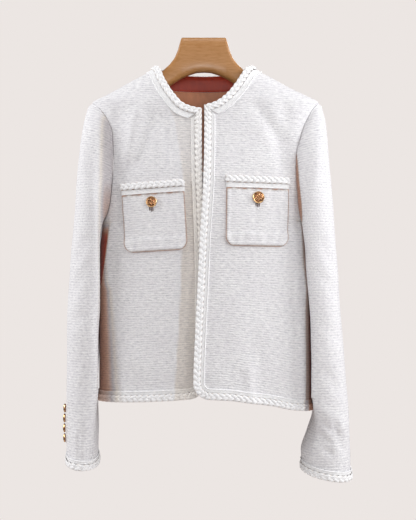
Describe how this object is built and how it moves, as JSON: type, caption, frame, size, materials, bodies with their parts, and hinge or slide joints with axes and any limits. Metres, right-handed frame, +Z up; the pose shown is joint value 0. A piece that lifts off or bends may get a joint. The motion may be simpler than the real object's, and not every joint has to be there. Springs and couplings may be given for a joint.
{
  "type": "cropped tweed jacket on a hanger",
  "caption": "Collarless cropped tweed jacket with plaited trim, chest patch pockets and domed metal buttons, hung on a broad moulded wooden hanger.",
  "frame": {"origin": "on the hanger's flat top, where the hook's stem goes in, about 1 mm from the middle of that face", "axes": "+Z up, -Y the way the jacket's front faces, +X towards the wearer's left"},
  "size_m": [0.4714, 0.156, 0.722],
  "materials": {
    "cream_tweed": "nubby woven bouclé tweed, matt",
    "white_plait": "plaited and ribbed white trim, matt",
    "brown_satin": "satin lining with a soft sheen",
    "rust_facing": "dark satin facing",
    "gold_button": "stamped and polished gilt metal",
    "tan_wood": "moulded, smooth satin lacquer"
  },
  "bodies": {
    "root": {"back": "cream_tweed", "front_left": "cream_tweed", "front_right": "cream_tweed", "pocket_left": "cream_tweed", "pocket_right": "cream_tweed", "sleeve_top_left": "cream_tweed", "sleeve_top_right": "cream_tweed", "sleeve_under_left": "cream_tweed", "sleeve_under_right": "cream_tweed", "trim_cuff_left": "white_plait", "trim_cuff_right": "white_plait", "trim_edge_left": "white_plait", "trim_edge_right": "white_plait", "trim_hem_back": "white_plait", "trim_neck": "white_plait", "trim_pocket_left": "white_plait", "trim_pocket_right": "white_plait", "back_lining": "brown_satin", "back_facing": "rust_facing", "button_pocket_left": "gold_button", "button_pocket_right": "gold_button", "button_cuff_left_1": "gold_button", "button_cuff_left_2": "gold_button", "button_cuff_left_3": "gold_button", "button_cuff_left_4": "gold_button", "button_cuff_right_1": "gold_button", "button_cuff_right_2": "gold_button", "button_cuff_right_3": "gold_button", "button_cuff_right_4": "gold_button", "hanger": "tan_wood"}
  },
  "joints": []
}
